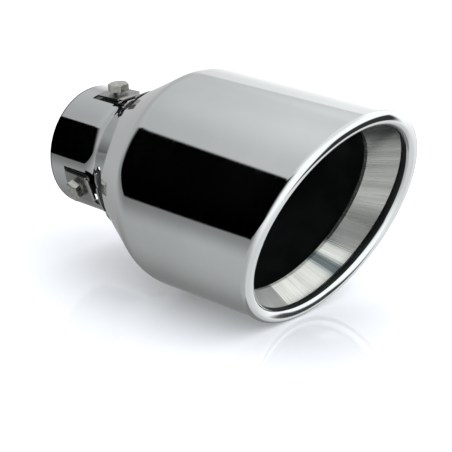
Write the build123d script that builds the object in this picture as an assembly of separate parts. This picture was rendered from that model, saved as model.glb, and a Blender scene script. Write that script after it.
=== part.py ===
from build123d import *
from math import asin, atan, atan2, cos, degrees, hypot, radians, sin, tan
import os

# A clamp-on exhaust tip in polished stainless sheet.
# Origin on the axis in the plane of the clamp bolts, +X towards the mouth, +Z up.
# Sizes are in millimetres and degrees, and X positions are counted from the open inlet end.

# Shell: inlet tube, flared neck and wide body, formed from one sheet
WALL = 1.0
INLET_RADIUS = 32.75
INLET_LENGTH = 33.3
NECK_RADIUS = 24.0
CONE_ANGLE = 28.3
SHOULDER_RADIUS = 19.6
BODY_RADIUS = 57.5
MOUTH_X = 167.0
MOUTH_SLANT_ANGLE = 21.5

# Rolled lip round the slanted mouth
LIP_RADIUS = 3.85
LIP_PROUD = 0.4
LIP_TUCK = 1.6

# Liner ring behind the lip
LINER_WALL = 1.0
LINER_GAP = 0.1
LINER_INSET = 4.4
LINER_TAPER = 7.1
LINER_DEPTH = 14.7
LINER_LAND = 2.4

# Clamps: a lanced tongue in the inlet, a bolt through it and a strap that the bolt pushes on the pipe
TOP_CLAMP_ANGLE = -3.0
SIDE_CLAMP_ANGLE = -110.0
FULL_TURN_ANGLE = 360.0
TONGUE_ROOT = 10.8
TONGUE_RAMP = 3.0
TONGUE_LENGTH = 19.4
TONGUE_WIDTH = 16.2
TONGUE_RISE = 0.6
TONGUE_LEAN_ANGLE = 3.0
TONGUE_CORNER = 2.5
FOLD_GAP = 1.0
FOLD_BACK = 15.0
SLIT = 1.4
WINDOW_X = 27.5
WINDOW_EXTRA = 1.4
SLOT_SETBACK = 8.0
SLOT_WIDTH = 9.0
SLOT_LENGTH = 40.0

# Straps
STRAP_WALL = 1.2
STRAP_START = 2.0
STRAP_BEND = 2.4
STRAP_WIDTH = 21.0
PAD_CORNER = 28.5
RISER_ANGLE = 26.0
TAB_WIDTH = 14.2
TAB_PROUD = 1.2
EAR_WIDTH = 30.0
EAR_INSET = 0.4

# Bolts, M6 by 8
BOLT_X = 21.3
BOLT_RADIUS = 3.0
BOLT_LENGTH = 8.0
BOLT_TIP = 0.6
HEAD_GAP = 1.6
HEAD_FLATS = 10.0
HEAD_HEIGHT = 3.85
HEAD_CROWN = 4.75
HEAD_CHAMFER_ANGLE = 30.0
THREAD_CLEARANCE = 0.05
HEAD_TURN_ANGLES = {"top": 31.0, "side": 42.0, "rear": 8.0}

third_clamp = (TOP_CLAMP_ANGLE + SIDE_CLAMP_ANGLE + FULL_TURN_ANGLE) / 2
clamps = {"top": TOP_CLAMP_ANGLE, "side": SIDE_CLAMP_ANGLE, "rear": third_clamp}
far = 4 * BODY_RADIUS
cone_length = (BODY_RADIUS - INLET_RADIUS) / tan(radians(CONE_ANGLE))
liner_setback = (LIP_RADIUS + LINER_GAP) / cos(radians(MOUTH_SLANT_ANGLE))
liner_front = BODY_RADIUS - LINER_INSET
liner_throat = liner_front - LINER_TAPER
tongue_top = INLET_RADIUS + TONGUE_RISE
tongue_flat = TONGUE_ROOT + TONGUE_RAMP
tongue_end = TONGUE_ROOT + TONGUE_LENGTH
bolt_seat = tongue_top + HEAD_GAP
bolt_end = bolt_seat - BOLT_LENGTH
slot_rear = INLET_LENGTH + SLOT_SETBACK
slot_front = slot_rear + SLOT_WIDTH

# The leaning bolt stands on the strap with the rear edge of its tip, which sets the radius of the pipe
lean_rise = (BOLT_X - tongue_flat - BOLT_RADIUS + BOLT_TIP) * sin(radians(TONGUE_LEAN_ANGLE))
lean_depth = (tongue_top - bolt_end) * cos(radians(TONGUE_LEAN_ANGLE))
pipe_radius = tongue_top + lean_rise - lean_depth - STRAP_WALL


def mouth_plane(setback=0.0):
    # Slanted plane across the mouth, its normal pointing out of the mouth
    a = radians(MOUTH_SLANT_ANGLE)
    return Plane(origin=(MOUTH_X - setback, 0, 0), x_dir=(0, 1, 0), z_dir=(cos(a), 0, -sin(a)))


def in_front(plane):
    return plane * Pos(0, 0, far / 2) * Box(far, far, far)


def behind(plane):
    return plane * Pos(0, 0, -far / 2) * Box(far, far, far)


def round_bar(radius, start, end):
    return Pos((start + end) / 2, 0, 0) * Rot(0, 90, 0) * Cylinder(radius, end - start)


def turned(shape, angle):
    # Turns a shape built at the top of the inlet round to its clamp
    return Rot(-angle, 0, 0) * shape


def lifted(shape):
    # Leans a shape built on the flat tongue up towards the free end of the tongue
    hinge = Pos(tongue_flat, 0, tongue_top)
    return hinge * Rot(0, -TONGUE_LEAN_ANGLE, 0) * hinge.inverse() * shape


def placed(shape):
    # Moves a finished piece so that the bolts stand over the origin
    return Pos(-BOLT_X, 0, 0) * shape


def shell_form(inset, start):
    # Solid of revolution lying a set distance inside the outer skin
    shift = inset * tan(radians(CONE_ANGLE / 2))
    neck = (INLET_LENGTH + shift, INLET_RADIUS - inset)
    shoulder = (INLET_LENGTH + cone_length + shift, BODY_RADIUS - inset)
    outline = Polyline(
        (start, 0),
        (start, neck[1]),
        neck,
        shoulder,
        (far, shoulder[1]),
        (far, 0),
        close=True,
    )
    face = make_face(outline)
    face = fillet(face.vertices().sort_by_distance(neck)[0], NECK_RADIUS + inset)
    face = fillet(face.vertices().sort_by_distance(shoulder)[0], SHOULDER_RADIUS - inset)
    return revolve(face, axis=Axis.X)


def mouth_oval(plane):
    # Oval of four smooth arcs, close to the ellipse in which the slanted plane cuts the body
    side = BODY_RADIUS + LIP_PROUD - LIP_RADIUS
    end = BODY_RADIUS / cos(radians(MOUTH_SLANT_ANGLE)) + LIP_PROUD - LIP_RADIUS
    diagonal = hypot(side, end)
    tight = diagonal * (diagonal - end + side) / (2 * end)
    wide = diagonal * (diagonal + end - side) / (2 * side)
    half = degrees(atan2(end - tight, wide - side))
    arcs = [
        CenterArc((side - wide, 0), wide, -half, 2 * half),
        CenterArc((0, end - tight), tight, half, 180 - 2 * half),
        CenterArc((wide - side, 0), wide, 180 - half, 2 * half),
        CenterArc((0, tight - end), tight, 180 + half, 180 - 2 * half),
    ]
    return plane * Wire(arcs)


def rolled_lip():
    # Curl that starts on the end of the wall, turns forward and inward, and ends open behind the mouth
    path = mouth_oval(mouth_plane())
    turn = -180 - degrees(asin(LIP_TUCK / LIP_RADIUS))
    outer = CenterArc((0, 0), LIP_RADIUS, 0, turn)
    inner = CenterArc((0, 0), LIP_RADIUS - WALL, 0, turn)
    section = make_face([outer, Line(outer @ 1, inner @ 1), inner, Line(inner @ 0, outer @ 0)])
    outward = (path @ 0) - Vector(MOUTH_X, 0, 0)
    return sweep(Plane(origin=path @ 0, x_dir=outward, z_dir=path % 0) * section, path=path)


def clamp_window():
    # Opening cut through the wall round one tongue, with the cross slot at the neck
    half = TONGUE_WIDTH / 2 + SLIT
    middle = (slot_rear + slot_front) / 2
    slits = Pos((TONGUE_ROOT + middle) / 2, 0) * Rectangle(middle - TONGUE_ROOT, 2 * half)
    window = Pos((WINDOW_X + middle) / 2, 0) * Rectangle(middle - WINDOW_X, 2 * (half + WINDOW_EXTRA))
    slot = Pos(middle, 0) * Rot(0, 0, 90) * SlotOverall(SLOT_LENGTH, SLOT_WIDTH)
    return Pos(0, 0, INLET_RADIUS / 2) * extrude(slits + window + slot, BODY_RADIUS)


def tongue():
    # Ramp up from the inlet wall, a leaning leaf, and its end folded back under to double it for the thread
    flat = tongue_flat
    wall = Circle(INLET_RADIUS) - Circle(INLET_RADIUS - WALL)
    sector = wall & Pos(0, INLET_RADIUS) * Rectangle(TONGUE_WIDTH, INLET_RADIUS)
    root = Plane.YZ.offset(TONGUE_ROOT) * sector
    step = Plane.YZ.offset(flat) * Pos(0, tongue_top - WALL / 2) * Rectangle(TONGUE_WIDTH, WALL)
    ramp = loft([root.face(), lifted(step).face()], ruled=True)
    depth = 2 * WALL + FOLD_GAP
    nose = tongue_end - depth / 2
    middle = tongue_top - depth / 2
    run = nose - flat
    centre = Pos((flat + nose) / 2, middle)
    bend = Pos(nose, middle)
    outer = centre * Rectangle(run, depth) + bend * Circle(depth / 2)
    inner = centre * Rectangle(run, FOLD_GAP) + bend * Circle(FOLD_GAP / 2)
    free = tongue_end - FOLD_BACK - flat
    tail = Pos(flat + free / 2, middle - depth / 4) * Rectangle(free, depth / 2)
    leaf = extrude(Plane.XZ * (outer - inner - tail), TONGUE_WIDTH / 2, both=True)
    plan = Pos((flat + tongue_end) / 2, 0) * Rectangle(tongue_end - flat, TONGUE_WIDTH)
    plan = fillet(plan.vertices().group_by(Axis.X)[-1], TONGUE_CORNER)
    leaf = leaf & extrude(plan, far)
    hole = Pos(BOLT_X, 0, tongue_top) * Cylinder(BOLT_RADIUS + THREAD_CLEARANCE, 4 * depth)
    return ramp + lifted(leaf - hole)


def strap():
    # Curved pad on the pipe, a riser, and a turned-up tab whose ears bear on the rear edge of the slot
    pad = pipe_radius + STRAP_WALL / 2
    tab = slot_rear + STRAP_WALL / 2
    foot = pad + (tab - PAD_CORNER) * tan(radians(RISER_ANGLE))
    edge = INLET_RADIUS + SLOT_SETBACK * tan(radians(CONE_ANGLE))
    line = FilletPolyline(
        (STRAP_START, pad),
        (PAD_CORNER, pad),
        (tab, foot),
        (tab, edge + TAB_PROUD),
        radius=STRAP_BEND,
    )
    profile = Plane.XZ * trace(line, STRAP_WALL)
    spread = degrees(asin(EAR_WIDTH / 2 / pipe_radius))
    sheet = Rot(-spread, 0, 0) * revolve(profile, axis=Axis.X, revolution_arc=2 * spread)
    body = Pos(slot_rear / 2, 0) * Rectangle(slot_rear, STRAP_WIDTH)
    ears = Pos(tab, 0) * Rectangle(STRAP_WALL, EAR_WIDTH)
    above = Pos(tab, 0, edge - EAR_INSET + far / 2) * Box(far, far, far)
    beside = above - Pos(tab, 0, far / 2) * Box(far, TAB_WIDTH, far)
    return (sheet & extrude(body + ears, far)) - beside


def bolt(turn):
    # Hexagon head with a chamfered top on a plain shank, standing on the pad of its strap
    spread = HEAD_HEIGHT / tan(radians(HEAD_CHAMFER_ANGLE))
    hexagon = extrude(RegularPolygon(HEAD_FLATS / 2, 6, major_radius=False), HEAD_HEIGHT)
    cone = Pos(0, 0, HEAD_HEIGHT / 2) * Cone(HEAD_CROWN + spread, HEAD_CROWN, HEAD_HEIGHT)
    head = Pos(BOLT_X, 0, bolt_seat) * Rot(0, 0, turn) * (hexagon & cone)
    shank = Cylinder(BOLT_RADIUS, BOLT_LENGTH)
    shank = chamfer(shank.edges().group_by(Axis.Z)[0], BOLT_TIP)
    return lifted(head + Pos(BOLT_X, 0, bolt_end + BOLT_LENGTH / 2) * shank)


def slanted_cone(front, rear, setback, depth):
    # Frustum between two parallel slanted planes, round when seen along the axis
    stretch = cos(radians(MOUTH_SLANT_ANGLE))
    first = mouth_plane(setback) * Ellipse(front, front / stretch)
    last = mouth_plane(setback + depth) * Ellipse(rear, rear / stretch)
    return loft([first.face(), last.face()], ruled=True)


def slanted_ring(outer, inner, setback, depth):
    bar = round_bar(outer, 0, far) - round_bar(inner, -1, far + 1)
    front = mouth_plane(setback)
    rear = mouth_plane(setback + depth)
    return bar & behind(front) & in_front(rear)


def liner():
    # Flange against the body wall, converging cone and a short straight land at the throat
    thick = LINER_WALL / cos(atan(LINER_TAPER / LINER_DEPTH))
    inner = slanted_cone(liner_front, liner_throat, liner_setback, LINER_DEPTH)
    outer = slanted_cone(liner_front + thick, liner_throat + thick, liner_setback, LINER_DEPTH)
    flange = slanted_ring(BODY_RADIUS - WALL, liner_throat, liner_setback, LINER_WALL)
    land = slanted_ring(liner_throat + thick, liner_throat, liner_setback + LINER_DEPTH, LINER_LAND)
    return flange + outer - inner + land


shell = shell_form(0, 0) - shell_form(WALL, -1)
shell = shell - in_front(mouth_plane()) + rolled_lip()
for angle in clamps.values():
    shell = shell - turned(clamp_window(), angle)
    shell = shell + turned(tongue(), angle)

os.makedirs("parts", exist_ok=True)
export_step(placed(shell), "parts/outer_shell.step")
export_step(placed(liner()), "parts/mouth_liner.step")
for name, angle in clamps.items():
    export_step(placed(turned(strap(), angle)), f"parts/strap_{name}.step")
bolts = [placed(turned(bolt(HEAD_TURN_ANGLES[name]), angle)).solid() for name, angle in clamps.items()]
export_step(Compound(bolts), "parts/clamp_bolts.step")
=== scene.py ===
from math import asin, atan, cos, pi, radians, sin, sqrt, tan

import bmesh
import bpy
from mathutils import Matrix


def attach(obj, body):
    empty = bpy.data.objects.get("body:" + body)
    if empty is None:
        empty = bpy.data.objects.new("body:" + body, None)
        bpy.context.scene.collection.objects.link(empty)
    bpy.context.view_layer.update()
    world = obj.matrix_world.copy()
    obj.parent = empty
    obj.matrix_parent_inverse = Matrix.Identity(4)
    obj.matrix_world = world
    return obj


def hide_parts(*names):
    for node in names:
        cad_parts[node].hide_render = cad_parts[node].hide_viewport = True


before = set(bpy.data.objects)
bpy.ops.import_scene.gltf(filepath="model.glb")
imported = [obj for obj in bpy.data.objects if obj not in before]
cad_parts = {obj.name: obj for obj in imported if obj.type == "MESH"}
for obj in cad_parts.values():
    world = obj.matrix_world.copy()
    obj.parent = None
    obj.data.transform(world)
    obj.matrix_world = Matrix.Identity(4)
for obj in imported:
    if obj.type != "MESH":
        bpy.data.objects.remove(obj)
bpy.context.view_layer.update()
MM = 0.001


# Shell: one sheet of stainless steel spun and rolled to an inlet tube, a flared neck and a wide body,
# then mirror polished outside. The inlet wall is lanced for the clamps, and each tongue is part of it.
WALL = 1.0
INLET_END = -21.3
INLET_RADIUS = 32.75
NECK_X = 12.0
NECK_RADIUS = 24.0
CONE_ANGLE = radians(28.3)
SHOULDER_RADIUS = 19.6
BODY_RADIUS = 57.5
MOUTH_X = 145.7
MOUTH_SLANT = tan(radians(21.5))
TUBE_STEPS = 16
NECK_STEPS = 16
CONE_STEPS = 20
SHOULDER_STEPS = 20
BODY_STEPS = 24
AROUND = 288


def spread(first, last, steps):
    # Evenly spaced values from the first to the last, both included
    return [first + (last - first) * i / steps for i in range(steps + 1)]


def arc(centre, radius, first, last, steps):
    # Points along a circle between two angles
    return [(centre[0] + radius * cos(a), centre[1] + radius * sin(a)) for a in spread(first, last, steps)]


TURNS = spread(0, 2 * pi, AROUND)[:-1]


def mesh_piece(name, points, faces, smooth_below=30):
    # Makes a mesh from millimetre points, smooth except at edges sharper than the given angle
    mesh = bpy.data.meshes.new(name)
    mesh.from_pydata([(x * MM, y * MM, z * MM) for x, y, z in points], [], faces)
    piece = bpy.data.objects.new(name, mesh)
    bpy.context.scene.collection.objects.link(piece)
    soften(piece, smooth_below)
    return piece


def soften(piece, smooth_below=30):
    # Turns all faces outward and marks the sharp edges
    form = bmesh.new()
    form.from_mesh(piece.data)
    bmesh.ops.recalc_face_normals(form, faces=form.faces)
    for face in form.faces:
        face.smooth = True
    for edge in form.edges:
        edge.smooth = edge.calc_face_angle(pi) < radians(smooth_below)
    form.to_mesh(piece.data)
    form.free()


def loop_faces(rings, length, closed=True):
    # Quads between neighbouring rings of equal length, the last ring joined to the first when closed
    faces = []
    for i in range(rings if closed else rings - 1):
        for j in range(length):
            a, b = i * length + j, i * length + (j + 1) % length
            c, d = (i + 1) % rings * length + (j + 1) % length, (i + 1) % rings * length + j
            faces.append((a, b, c, d))
    return faces


def skin(inset):
    # Profile of the sheet from the inlet to the start of the body, lying a set distance inside the outer skin
    half_tangent = tan(CONE_ANGLE / 2)
    low, high = INLET_RADIUS - inset, BODY_RADIUS - inset
    neck, shoulder = NECK_RADIUS + inset, SHOULDER_RADIUS - inset
    shoulder_x = NECK_X + (BODY_RADIUS - INLET_RADIUS) / tan(CONE_ANGLE)
    neck_start = NECK_X + inset * half_tangent - neck * half_tangent
    body_start = shoulder_x + inset * half_tangent + shoulder * half_tangent
    tube = [(x, low) for x in spread(INLET_END, neck_start, TUBE_STEPS)[:-1]]
    bend = arc((neck_start, low + neck), neck, -pi / 2, CONE_ANGLE - pi / 2, NECK_STEPS)
    crown = arc((body_start, high - shoulder), shoulder, pi / 2 + CONE_ANGLE, pi / 2, SHOULDER_STEPS)
    (cone_x, cone_r), (crown_x, crown_r) = bend[-1], crown[0]
    cone = list(zip(spread(cone_x, crown_x, CONE_STEPS), spread(cone_r, crown_r, CONE_STEPS)))[1:-1]
    return tube + bend + cone + crown


def wall_points():
    # At each turn, the outer skin as far as the slanted mouth and then the inner skin back to the inlet
    outer, inner = skin(0), skin(WALL)
    points = []
    for turn in TURNS:
        y, z = sin(turn), cos(turn)
        end = MOUTH_X + MOUTH_SLANT * BODY_RADIUS * z
        run = [(x, BODY_RADIUS) for x in spread(outer[-1][0], end, BODY_STEPS)[1:]]
        back = [(x, BODY_RADIUS - WALL) for x in spread(end, inner[-1][0], BODY_STEPS)[:-1]]
        profile = outer + run + back + inner[::-1]
        points += [(x, r * y, r * z) for x, r in profile]
    return points, len(profile)


wall_mesh, wall_loop = wall_points()
shell = mesh_piece("shell", wall_mesh, loop_faces(AROUND, wall_loop))

LIP_RADIUS = 3.85
LIP_PROUD = 0.4
LIP_TUCK = 1.6
LIP_STEPS = 44
LIP_POLISHED_STEPS = 34


def rolled_lip():
    # Open curl that the end of the sheet is rolled into, swept round the slanted mouth
    slant = atan(MOUTH_SLANT)
    side = BODY_RADIUS + LIP_PROUD - LIP_RADIUS
    end = BODY_RADIUS / cos(slant) + LIP_PROUD - LIP_RADIUS
    last = pi + asin(LIP_TUCK / LIP_RADIUS)
    section = arc((0, 0), LIP_RADIUS, 0, last, LIP_STEPS)
    section += arc((0, 0), LIP_RADIUS - WALL, last, 0, LIP_STEPS)
    points = []
    for turn in TURNS:
        out_y, out_s = sin(turn) / side, cos(turn) / end
        size = sqrt(out_y ** 2 + out_s ** 2)
        for a, b in section:
            y = side * sin(turn) + a * out_y / size
            s = end * cos(turn) + a * out_s / size
            points.append((MOUTH_X + s * sin(slant) + b * cos(slant), y, s * cos(slant) - b * sin(slant)))
    return mesh_piece("shell_lip", points, loop_faces(AROUND, len(section)))


CLAMPS = (-3.0, -110.0, 123.5)
TONGUE_ROOT = -10.5
TONGUE_RAMP = 3.0
TONGUE_WIDTH = 16.2
TONGUE_RISE = 0.6
TONGUE_LEAN = radians(3)
TONGUE_END = 8.9
TONGUE_CORNER = 2.5
FOLD_GAP = 1.0
FOLD_BACK = 15.0
SLIT = 1.4
WINDOW_X = 6.2
WINDOW_EXTRA = 1.4
SLOT_X = 20.0
SLOT_WIDTH = 9.0
SLOT_LENGTH = 40.0
SLOT_STEPS = 16
RAMP_STEPS = 7
LEAF_STEPS = 12
FOLD_STEPS = 20
FLAP_STEPS = 8
LANE_STEPS = 16


def turned(points, clamp):
    # Turns points made at the top of the inlet round to their clamp
    a = radians(-clamp)
    return [(x, y * cos(a) - z * sin(a), y * sin(a) + z * cos(a)) for x, y, z in points]


def window_cutter(clamp):
    # Block that cuts the slits beside the tongue, the wider window at its end and the cross slot in one piece
    half = TONGUE_WIDTH / 2 + SLIT
    wide = half + WINDOW_EXTRA
    middle, bend = SLOT_X + SLOT_WIDTH / 2, SLOT_WIDTH / 2
    straight = SLOT_LENGTH / 2 - bend
    side = [(TONGUE_ROOT, half), (WINDOW_X, half), (WINDOW_X, wide), (SLOT_X, wide)]
    side += arc((middle, straight), bend, pi, 0, SLOT_STEPS)
    outline = side + [(x, -t) for x, t in reversed(side)]
    points = [(x, t, z) for z in (INLET_RADIUS / 2, BODY_RADIUS) for x, t in outline]
    faces = loop_faces(2, len(outline), closed=False)
    faces += [tuple(range(len(outline))), tuple(range(len(outline), 2 * len(outline)))]
    return mesh_piece("cutter", turned(points, clamp), faces)


def tongue(clamp):
    # Ramp up from the inlet wall, flat leaf and the fold back under it
    top = INLET_RADIUS + TONGUE_RISE
    flat = TONGUE_ROOT + TONGUE_RAMP
    fold = WALL + FOLD_GAP / 2
    nose, tail = TONGUE_END - fold, TONGUE_END - FOLD_BACK
    under = top - 2 * fold
    leaf = [((x, top), (x, top - WALL)) for x in spread(flat, nose, LEAF_STEPS)[:-1]]
    outer = arc((nose, top - fold), fold, pi / 2, -pi / 2, FOLD_STEPS)
    inner = arc((nose, top - fold), FOLD_GAP / 2, pi / 2, -pi / 2, FOLD_STEPS)
    flap = [((x, under), (x, under + WALL)) for x in spread(nose, tail, FLAP_STEPS)[1:]]
    lanes = spread(-1, 1, LANE_STEPS)

    def half_width(x):
        # Rounds the corners at the free end
        over = max(0.0, x - (TONGUE_END - TONGUE_CORNER))
        return TONGUE_WIDTH / 2 - TONGUE_CORNER + sqrt(max(0.0, TONGUE_CORNER ** 2 - over ** 2))

    def lifted(x, t, z):
        # Leans the leaf up from the end of the ramp towards its free end
        a, b = x - flat, z - top
        lean_x = flat + a * cos(TONGUE_LEAN) - b * sin(TONGUE_LEAN)
        return lean_x, t, top + a * sin(TONGUE_LEAN) + b * cos(TONGUE_LEAN)

    rows = []
    for u in spread(0, 1, RAMP_STEPS)[:-1]:
        row = []
        for radius, level, order in ((INLET_RADIUS, top, 1), (INLET_RADIUS - WALL, top - WALL, -1)):
            for lane in lanes[::order]:
                t = lane * TONGUE_WIDTH / 2
                start = sqrt(radius ** 2 - t ** 2)
                row.append((TONGUE_ROOT + TONGUE_RAMP * u, t, start + (level - start) * u))
        rows.append(row)
    for (xa, za), (xb, zb) in [*leaf, *zip(outer, inner), *flap]:
        row = [lifted(xa, lane * half_width(xa), za) for lane in lanes]
        row += [lifted(xb, lane * half_width(xb), zb) for lane in lanes[::-1]]
        rows.append(row)
    count = len(rows[0])
    faces = loop_faces(len(rows), count, closed=False)
    faces += [tuple(range(count)), tuple(range((len(rows) - 1) * count, len(rows) * count))]
    return mesh_piece("shell_tongue", turned([p for row in rows for p in row], clamp), faces)


for clamp in CLAMPS:
    cutter = window_cutter(clamp)
    cut = shell.modifiers.new("window", "BOOLEAN")
    cut.operation = "DIFFERENCE"
    cut.solver = "EXACT"
    cut.object = cutter
    bpy.context.view_layer.objects.active = shell
    bpy.ops.object.modifier_apply(modifier=cut.name)
    bpy.data.objects.remove(cutter)
soften(shell)


class Socket:
    # One output of a shader node, which ordinary arithmetic turns into Math nodes
    def __init__(self, tree, output):
        self.tree = tree
        self.output = output

    def node(self, kind, inputs=None, settings=None, output=0):
        # Adds a node with its settings, then gives its sockets their values or links
        made = self.tree.nodes.new(kind)
        for key, value in (settings or {}).items():
            setattr(made, key, value)
        for key, value in (inputs or {}).items():
            if isinstance(value, Socket):
                self.tree.links.new(value.output, made.inputs[key])
            else:
                made.inputs[key].default_value = value
        return Socket(self.tree, made.outputs[output]) if made.outputs else None

    def beside(self, name):
        # Another output of the same node
        return Socket(self.tree, self.output.node.outputs[name])

    def math(self, operation, *others):
        return self.node("ShaderNodeMath", dict(enumerate((self, *others))), {"operation": operation})

    def ramp(self, low, high, to_low=0.0, to_high=1.0):
        inputs = {"Value": self, "From Min": low, "From Max": high, "To Min": to_low, "To Max": to_high}
        return self.node("ShaderNodeMapRange", inputs, {"interpolation_type": "SMOOTHSTEP"})

    def sweep(self, low, high, to_low=0.0, to_high=1.0):
        # A ramp between two angles in degrees
        return self.ramp(radians(low), radians(high), to_low, to_high)

    def towards(self, other, share):
        return self + (other - self) * share

    def noise(self, scale, detail):
        return self.node("ShaderNodeTexNoise", {"Vector": self, "Scale": scale, "Detail": detail})

    def stretched(self, scale):
        return self.node("ShaderNodeMapping", {"Vector": self, "Scale": scale})

    def axes(self):
        x = self.node("ShaderNodeSeparateXYZ", {0: self}, output="X")
        return x, x.beside("Y"), x.beside("Z")

    def colour(self, red, green, blue):
        return self.node("ShaderNodeCombineColor", {0: red, 1: green, 2: blue})

    def mix_colour(self, first, second):
        inputs = {"Factor": self, 6: first, 7: second}
        return self.node("ShaderNodeMix", inputs, {"data_type": "RGBA"}, output=2)

    def surface(self, inputs):
        # Ends a material with one principled shader
        shader = self.node("ShaderNodeBsdfPrincipled", inputs)
        self.node("ShaderNodeOutputMaterial", {"Surface": shader})

    def __add__(self, other):
        return self.math("ADD", other)

    def __sub__(self, other):
        return self.math("SUBTRACT", other)

    def __mul__(self, other):
        return self.math("MULTIPLY", other)

    def __truediv__(self, other):
        return self.math("DIVIDE", other)

    def __neg__(self):
        return self * -1.0

    def __rsub__(self, other):
        return -self + other

    __radd__ = __add__


def new_tree(made):
    # Clears a material's or world's nodes and returns a socket to build from
    made.use_nodes = True
    made.node_tree.nodes.clear()
    return Socket(made.node_tree, None)


def new_steel(name):
    # An empty material and the place of each of its points on the object
    made = bpy.data.materials.new(name)
    return made, new_tree(made).node("ShaderNodeTexCoord", output="Object")


def polished_steel():
    # Mirror polish with faint buffing marks round the axis, dark at the cut inlet end, duller underneath,
    # painted shade on the inlet tube and painted light towards the mouth
    made, place = new_steel("polished_steel")
    x, _, z = place.axes()
    marks = place.stretched((900, 60, 60)).noise(1.0, 3.0)
    cloud = place.noise(22.0, 4.0)
    underside = z.ramp(-0.055, -0.042, 0.17, 0.0)
    roughness = marks.ramp(0.4, 0.7, 0.03, 0.055) + cloud.ramp(0.45, 0.75, 0.0, 0.02) + underside
    # Painted shade darkens the inlet tube, and painted light brightens the body towards the mouth
    inlet, body = x.ramp(0.004, 0.014, 0.87, 1.0), x.ramp(0.05, 0.155, 0.90, 1.07)
    cut_end = x.ramp((INLET_END + 0.5) * MM, (INLET_END + 1.1) * MM, 0.3, 1.0)
    tone = cloud.ramp(0.35, 0.7, 0.76, 0.80) * inlet * body * cut_end
    colour = place.colour(tone * 0.96, tone, tone)
    bump = place.node("ShaderNodeBump", {"Height": marks, "Strength": 0.01, "Distance": 0.0002})
    place.surface({"Base Color": colour, "Metallic": 1.0, "Roughness": roughness, "Normal": bump})
    return made


def painted_shade_steel():
    # Inside of the sheet, left as rolled and rough, coloured near-black as painted shade
    made, place = new_steel("painted_shade_steel")
    shade_level = place.noise(60.0, 5.0)
    colour = shade_level.ramp(0.35, 0.7).mix_colour((0.010, 0.014, 0.013, 1), (0.020, 0.026, 0.024, 1))
    place.surface({"Base Color": colour, "Metallic": 0.6, "Roughness": shade_level.ramp(0.3, 0.7, 0.55, 0.75)})
    return made


def pressed_steel():
    # The tongues and the sheared edges round them, which the buffing wheel does not reach
    made, place = new_steel("pressed_steel")
    grain = place.noise(300.0, 4.0)
    colour = grain.ramp(0.35, 0.7).mix_colour((0.30, 0.30, 0.30, 1), (0.36, 0.36, 0.36, 1))
    place.surface({"Base Color": colour, "Metallic": 1.0, "Roughness": grain.ramp(0.3, 0.7, 0.26, 0.38)})
    return made


SHELL_STEELS = (polished_steel(), painted_shade_steel(), pressed_steel())
POLISHED, PAINTED_SHADE, PRESSED = range(3)
EDGE_FACING = 0.4
LEAF_FACING = 0.1
NOSE_FACING = 0.3
CLAMP_REACH = SLOT_X + 2 * SLOT_WIDTH


def wall_steel(face):
    # Polished outside, painted shade inside, and pressed on the sheared edges round the clamps
    middle = face.center
    outward = (face.normal.y * middle.y + face.normal.z * middle.z) / sqrt(middle.y ** 2 + middle.z ** 2)
    if outward < -EDGE_FACING:
        return PAINTED_SHADE
    sheared = abs(outward) < EDGE_FACING and INLET_END < middle.x / MM < CLAMP_REACH
    return PRESSED if sheared else POLISHED


def lip_steel(face):
    # Polished round the front of the curl; the rest of it, in the gap behind, is painted shade
    step = face.index % (2 * LIP_STEPS + 2)
    return POLISHED if step < LIP_POLISHED_STEPS else PAINTED_SHADE


def tongue_steel(face, clamp):
    # Pressed on the leaf and the nose of the fold, with painted shade below and on the sides
    upward = face.normal.y * sin(radians(clamp)) + face.normal.z * cos(radians(clamp))
    return PRESSED if upward > LEAF_FACING or face.normal.x > NOSE_FACING else PAINTED_SHADE


def plate(piece, choose, *rest):
    for steel in SHELL_STEELS:
        piece.data.materials.append(steel)
    for face in piece.data.polygons:
        face.material_index = choose(face, *rest)


plate(shell, wall_steel)
lip = rolled_lip()
plate(lip, lip_steel)
tongues = [tongue(clamp) for clamp in CLAMPS]
for piece, clamp in zip(tongues, CLAMPS):
    plate(piece, tongue_steel, clamp)
with bpy.context.temp_override(active_object=shell, selected_editable_objects=[shell, lip, *tongues]):
    bpy.ops.object.join()
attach(shell, "root")
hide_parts("outer_shell")


# Liner: a tapered ring of bright stainless sheet behind the lip, with a flange against the body wall.
# It is drawn on a press, which leaves streaks along the taper.
LINER_WALL = 1.0
LINER_GAP = 0.1
LINER_FRONT_RADIUS = 53.1
LINER_THROAT_RADIUS = 46.0
LINER_DEPTH = 14.7
LINER_LAND = 2.4
TAPER_STEPS = 12
HEM_STEPS = 12


def liner_points():
    # Flange against the wall, taper, and a short straight land at the throat with a rounded end
    setback = (LIP_RADIUS + LINER_GAP) / cos(atan(MOUTH_SLANT))
    fall = atan((LINER_FRONT_RADIUS - LINER_THROAT_RADIUS) / LINER_DEPTH)
    thick = LINER_WALL / cos(fall)
    rim = BODY_RADIUS - WALL
    throat, flange_back = setback + LINER_DEPTH, setback + LINER_WALL
    radii = spread(LINER_FRONT_RADIUS, LINER_THROAT_RADIUS, TAPER_STEPS)
    taper = list(zip(spread(setback, throat, TAPER_STEPS), radii))
    hem_centre = (throat + LINER_LAND - thick / 2, LINER_THROAT_RADIUS + thick / 2)
    hem = arc(hem_centre, thick / 2, -pi / 2, pi / 2, HEM_STEPS)
    section = [(setback, rim)] + taper + hem + [(throat, LINER_THROAT_RADIUS + thick)]
    section += [(flange_back, LINER_FRONT_RADIUS + thick - LINER_WALL * tan(fall)), (flange_back, rim)]
    points = []
    for turn in TURNS:
        for back, r in section:
            points.append((MOUTH_X - back + MOUTH_SLANT * r * cos(turn), r * sin(turn), r * cos(turn)))
    return points, len(section)


liner_mesh, liner_loop = liner_points()
liner = mesh_piece("liner", liner_mesh, loop_faces(AROUND, liner_loop), smooth_below=20)


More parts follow.
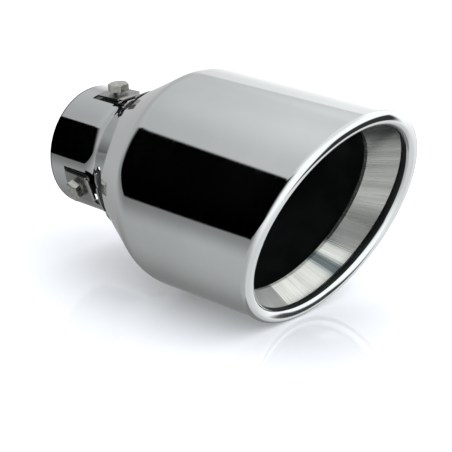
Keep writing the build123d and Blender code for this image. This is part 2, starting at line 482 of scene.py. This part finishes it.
def streaked_steel():
    # Bright sheet with soft bands and fine scores along the taper, darker at the top with painted shade and
    # hazed at the bottom, with one blue-grey stripe of painted reflection in the haze
    made, place = new_steel("streaked_steel")
    x, y, z = place.axes()
    angle = y.math("ARCTAN2", z)
    broad = place.node("ShaderNodeCombineXYZ", {"X": angle * 12.0, "Y": x * 14.0}).noise(1.0, 2.0)
    fine = place.node("ShaderNodeCombineXYZ", {"X": angle * 110.0, "Y": x * 25.0}).noise(1.0, 3.0)
    score = fine.ramp(0.62, 0.72)
    ragged = angle + (fine - 0.5) * 0.16
    haze = ragged.math("ABSOLUTE").sweep(128, 135) * ragged.ramp(-0.01, 0.01, 0.45, 1.0)
    # Painted shade darkens the top of the taper
    shade_level = angle.math("ABSOLUTE").sweep(41, 58, 0.2, 0.78)
    # Painted reflection: one blue-grey stripe across the haze
    reflected_stripe = ragged.sweep(137, 141) * ragged.sweep(144, 149, 1.0, 0.0)
    clear, hazed = broad.ramp(0.3, 0.7, 0.66, 0.90) * shade_level, broad.ramp(0.3, 0.6, 0.88, 1.0)
    tone = clear * (1.0 - haze) + haze * hazed
    tone = tone * (1.0 - score * 0.45) * (1.0 - reflected_stripe * fine.ramp(0.3, 0.6, 0.95, 0.72))
    tone = tone * (1.0 - haze * fine.ramp(0.46, 0.6, 0.0, 0.22))
    red = tone * (0.97 + haze * 0.03 - reflected_stripe * 0.15)
    blue = tone * (0.95 - haze * 0.05 + reflected_stripe * 0.08)
    height = broad * 0.4 + fine * 0.12 - score * 0.2
    bump = place.node("ShaderNodeBump", {"Height": height, "Strength": 0.12, "Distance": 0.0006})
    roughness = fine.ramp(0.3, 0.7, 0.18, 0.28) + haze * 0.2
    colour = place.colour(red, tone, blue)
    metal = 0.9 - haze * 0.8
    place.surface({"Base Color": colour, "Metallic": metal, "Roughness": roughness, "Normal": bump})
    return made


liner.data.materials.append(streaked_steel())
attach(liner, "root")
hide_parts("mouth_liner")


# Straps: plain stainless strip bent to a pad on the pipe, a riser and a turned-up end in the cross slot.
# They are loose until the bolts push them on the pipe.
def strip_steel():
    # Grained strip, darkened with painted shade where it lies below the shell
    made, place = new_steel("strip_steel")
    _, y, z = place.axes()
    grain = place.stretched((120, 900, 900)).noise(1.0, 3.0)
    # Painted shade: darker the deeper the strip lies below the shell
    sunk_shade = (y * y + z * z).math("SQRT").ramp(0.0340, 0.0362, 0.06, 1.0)
    tone = grain.ramp(0.35, 0.7, 0.40, 0.52) * sunk_shade
    colour, roughness = place.colour(tone, tone, tone), grain.ramp(0.3, 0.7, 0.30, 0.42)
    place.surface({"Base Color": colour, "Metallic": 1.0, "Roughness": roughness})
    return made


def dress(piece, material):
    # Gives a CAD mesh its one material
    piece.data.materials.clear()
    piece.data.materials.append(material)


strap_steel = strip_steel()
for name in ("strap_top", "strap_side", "strap_rear"):
    dress(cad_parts[name], strap_steel)


# Bolts: cold-headed stainless hexagon bolts, satin from the tumbler, turned through the tongues.
# The tumbler also rounds their edges a little.
EDGE_WEAR = 0.25
EDGE_ANGLE = 25


def bolt_steel():
    # Satin grey with fine lighter and darker spots
    made, place = new_steel("bolt_steel")
    spots = place.noise(500.0, 4.0)
    colour = spots.ramp(0.35, 0.7).mix_colour((0.42, 0.42, 0.39, 1), (0.60, 0.60, 0.565, 1))
    place.surface({"Base Color": colour, "Metallic": 1.0, "Roughness": spots.ramp(0.3, 0.7, 0.26, 0.40)})
    return made


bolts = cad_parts["clamp_bolts"]
dress(bolts, bolt_steel())
worn = bolts.modifiers.new("worn_edges", "BEVEL")
worn.width = EDGE_WEAR * MM
worn.segments = 2
worn.limit_method = "ANGLE"
worn.angle_limit = radians(EDGE_ANGLE)


# Table: a white glossy surface that the tip lies on, with the tip's shadow and faint reflection in it.
# The polished metal does not mirror it, because the studio's low tones stand for it there.
FLOOR_Z = -58.1
FLOOR_SIZE = 4.0
TABLE_WHITE = (0.89, 0.89, 0.89, 1)
bpy.ops.mesh.primitive_plane_add(size=FLOOR_SIZE, location=(0, 0, FLOOR_Z * MM))
floor = bpy.context.object
floor.name = "table"
floor.visible_glossy = False
white_table = bpy.data.materials.new("white_table")
new_tree(white_table).surface({"Base Color": TABLE_WHITE, "Roughness": 0.06, "IOR": 1.45})
floor.data.materials.append(white_table)


# Studio: white to the camera. The metal mirrors a grey room, bright round the mouth, with a black flag on the
# near side and a dark screen beyond the mouth. All else is lit softly, mostly from above and from the mouth's
# side. Bearings are 0 on the near side and 90 degrees on the mouth's, and heights are measured from level.
FLAG_CORNER = (-66, 4)
FLAG_CORNER_SIZE = (-21, 33.2)
FLAG_SILL = (-85, 2)
SILL_SLOPE = -0.355
SILL_LOWEST = -13
CHAMFER_SLOPE = 0.75
SCREEN_DEPTH = 0.97
SOFT_LIGHT = (1.45, 1.49, 1.57)


def room_tone(bearing, height):
    # Grey walls by the inlet, lighter upward, a glow behind it on the far side, and bright walls elsewhere
    low = bearing.sweep(-126, -50, 0.235, 0.48)
    middle = bearing.sweep(-132, -95, 0.60, 0.52)
    high = bearing.sweep(-124, -62, 0.72, 0.59) + height.sweep(42, 60, 0.0, 0.16)
    room = low.towards(middle, height.sweep(-36, -8)).towards(high, height.sweep(16, 34))
    glow = height.sweep(-14, -7, 0.0, 0.56) - height.sweep(-6, 16, 0.0, 0.22)
    glow = glow - height.sweep(20.5, 23, 0.0, 0.28)
    room = room + bearing.sweep(-134, -128, 1.0, 0.0) * glow
    bright = height.sweep(-58, -18, 0.74, 1.2) - height.sweep(42, 62, 0.0, 0.3)
    far_wall = bright * height.sweep(-25, -5, 0.82, 1.0)
    room = room.towards(bright, bearing.sweep(-12, 60))
    return room.towards(far_wall, bearing.math("ABSOLUTE").sweep(160, 172))


def black_flag(bearing, height, above_sill):
    # Rounded at the upper left with that corner cut off, sharp along its sill and soft at its ends
    across = (bearing - radians(FLAG_CORNER[0])) / radians(FLAG_CORNER_SIZE[0])
    upward = (height - radians(FLAG_CORNER[1])) / radians(FLAG_CORNER_SIZE[1])
    across, upward = across.math("MAXIMUM", 0.0), upward.math("MAXIMUM", 0.0)
    corner = (across * across + upward * upward).math("SQRT").ramp(0.955, 1.005, 1.0, 0.0)
    chamfer = (height - bearing * CHAMFER_SLOPE).sweep(82, 84, 1.0, 0.0)
    flag = chamfer * corner * above_sill.sweep(-0.8, 0.8)
    return flag * bearing.sweep(-87, -70) * bearing.sweep(5, 42, 1.0, 0.0)


def dim_below_flag(bearing, height, above_sill):
    # The wall fades from half its tone under the sill to all of it lower down
    dim = (-above_sill).sweep(0, 20, 0.5, 0.0) * height.sweep(-6, 4, 1.0, 0.0)
    return dim * bearing.sweep(-100, -85) * bearing.sweep(-20, 10, 1.0, 0.0)


def dark_screen(bearing, height):
    # Almost black, low down, and soft at every edge
    screen = height.sweep(-40, -33) * height.sweep(2, 12, 1.0, 0.0)
    return screen * bearing.sweep(94, 108) * bearing.sweep(155, 164, 1.0, 0.0) * SCREEN_DEPTH


def studio():
    # Puts the room, the flag, the screen and the soft light into the world
    world = bpy.data.worlds.new("studio")
    bpy.context.scene.world = world
    direction = new_tree(world).node("ShaderNodeTexCoord", output="Generated")
    x, y, z = direction.axes()
    height = z.math("ARCSINE")
    bearing = x.math("ARCTAN2", -y)
    sill = (bearing - radians(FLAG_SILL[0])) * SILL_SLOPE + radians(FLAG_SILL[1])
    above_sill = height - sill.math("MAXIMUM", radians(SILL_LOWEST))
    room = room_tone(bearing, height) * (1.0 - dim_below_flag(bearing, height, above_sill))
    room = room * (1.0 - black_flag(bearing, height, above_sill)) * (1.0 - dark_screen(bearing, height))
    soft = x * 0.3 + x.ramp(0.0, 1.0, 0.0, 0.75) - y * 0.05 + z * 0.6 + 0.5
    camera_ray = direction.node("ShaderNodeLightPath", output="Is Camera Ray")
    soft_colour = direction.colour(*[soft * level for level in SOFT_LIGHT])
    lit = camera_ray.beside("Is Glossy Ray").mix_colour(soft_colour, direction.colour(room, room, room))
    seen = camera_ray.mix_colour(lit, (1.0, 1.0, 1.0, 1))
    shader = direction.node("ShaderNodeBackground", {"Color": seen, "Strength": 1.0})
    direction.node("ShaderNodeOutputWorld", {"Surface": shader})


studio()


# Camera: a long lens on the mouth's near side, looking down on the tip. Its place and lens come from the
# circles of the inlet and body and the oval of the mouth as the photograph shows them.
LENS = 132.2
SENSOR_WIDTH = 36.0
CAMERA_PLACE = (0.6275, -0.5732, 0.2791)
CAMERA_DOWN = 20.74
CAMERA_TURN = 43.85
camera_data = bpy.data.cameras.new("camera")
camera_data.lens = LENS
camera_data.sensor_width = SENSOR_WIDTH
camera = bpy.data.objects.new("camera", camera_data)
camera.location = CAMERA_PLACE
camera.rotation_euler = (radians(90 - CAMERA_DOWN), 0, radians(CAMERA_TURN))
bpy.context.scene.collection.objects.link(camera)
bpy.context.scene.camera = camera
bpy.context.scene.view_settings.view_transform = "Standard"
